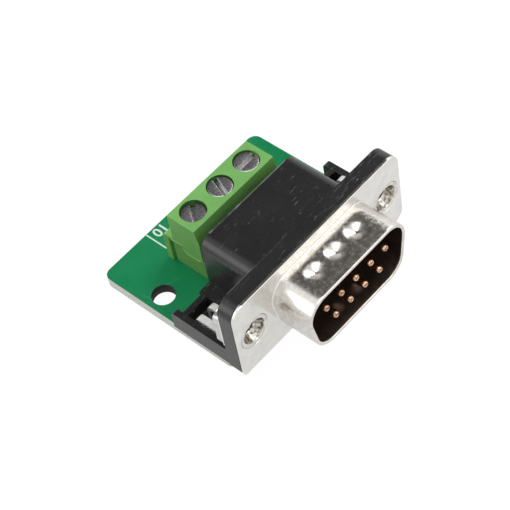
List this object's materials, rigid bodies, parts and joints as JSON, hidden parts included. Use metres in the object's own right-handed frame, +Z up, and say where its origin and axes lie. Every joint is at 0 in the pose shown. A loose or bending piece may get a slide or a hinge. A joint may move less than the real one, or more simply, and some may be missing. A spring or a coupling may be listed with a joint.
{
  "type": "d-sub terminal block adapter",
  "caption": "Right-angled D-sub plug with a black hood and wings, wired on a small green circuit board to a screw terminal block with rising clamps.",
  "frame": {"origin": "under the middle of the part, at the level of the solder tails' tips", "axes": "+X to the right when facing the plug, -Y out of the plug's mouth, +Z up from the board"},
  "size_m": [0.0308, 0.0314, 0.0157],
  "materials": {
    "nickel": "bright nickel plate on pressed steel",
    "zinc": "satin zinc plate on steel",
    "gold": "thin gold plate on brass",
    "tin": "bright tin",
    "black_plastic": "satin moulded thermoplastic with fine scratches",
    "insulator_plastic": "satin moulded thermoplastic",
    "green_plastic": "satin moulded polyamide",
    "solder_mask": "green solder mask on glass-fibre laminate"
  },
  "bodies": {
    "adapter": {"board": "solder_mask", "bracket": "black_plastic", "clamp_contact_1": "tin", "clamp_contact_2": "tin", "clamp_contact_3": "tin", "dsub_insulator": "insulator_plastic", "dsub_shell": "nickel", "earth_strap_left": "zinc", "earth_strap_right": "zinc", "lock_insert_left": "nickel", "lock_insert_right": "nickel", "lock_nut_left": "zinc", "lock_nut_right": "zinc", "pin_1": "gold", "pin_2": "gold", "pin_3": "gold", "pin_4": "gold", "pin_5": "gold", "pin_6": "gold", "pin_7": "gold", "pin_8": "gold", "pin_9": "gold", "solder_contact_1": "tin", "solder_contact_2": "tin", "solder_contact_3": "tin", "solder_pin_1": "tin", "solder_pin_2": "tin", "solder_pin_3": "tin", "solder_pin_4": "tin", "solder_pin_5": "tin", "solder_pin_6": "tin", "solder_pin_7": "tin", "solder_pin_8": "tin", "solder_pin_9": "tin", "solder_strap_left": "tin", "solder_strap_right": "tin", "terminal_housing": "green_plastic"},
    "screw_1": {"terminal_screw_1": "zinc"},
    "screw_2": {"terminal_screw_2": "zinc"},
    "screw_3": {"terminal_screw_3": "zinc"},
    "cage_1": {"clamp_cage_1": "zinc"},
    "cage_2": {"clamp_cage_2": "zinc"},
    "cage_3": {"clamp_cage_3": "zinc"}
  },
  "joints": [
    {"name": "screw_1_turn", "type": "hinge", "parent": "adapter", "child": "screw_1", "pos_m": [-0.005, 0.00665, 0.01112], "axis": [0, 0, -1], "range_deg": [0, 1680]},
    {"name": "screw_2_turn", "type": "hinge", "parent": "adapter", "child": "screw_2", "pos_m": [0, 0.00665, 0.01137], "axis": [0, 0, -1], "range_deg": [0, 1680]},
    {"name": "screw_3_turn", "type": "hinge", "parent": "adapter", "child": "screw_3", "pos_m": [0.005, 0.00665, 0.01137], "axis": [0, 0, -1], "range_deg": [0, 1680]},
    {"name": "cage_1_lift", "type": "slide", "parent": "adapter", "child": "cage_1", "axis": [0, 0, 1], "range_m": [0, 0.0021]},
    {"name": "cage_2_lift", "type": "slide", "parent": "adapter", "child": "cage_2", "axis": [0, 0, 1], "range_m": [0, 0.0021]},
    {"name": "cage_3_lift", "type": "slide", "parent": "adapter", "child": "cage_3", "axis": [0, 0, 1], "range_m": [0, 0.0021]}
  ],
  "couplings": [
    {"joint": "screw_1_turn", "follows": "cage_1_lift", "rad_per_m": 13963},
    {"joint": "screw_2_turn", "follows": "cage_2_lift", "rad_per_m": 13963},
    {"joint": "screw_3_turn", "follows": "cage_3_lift", "rad_per_m": 13963}
  ]
}
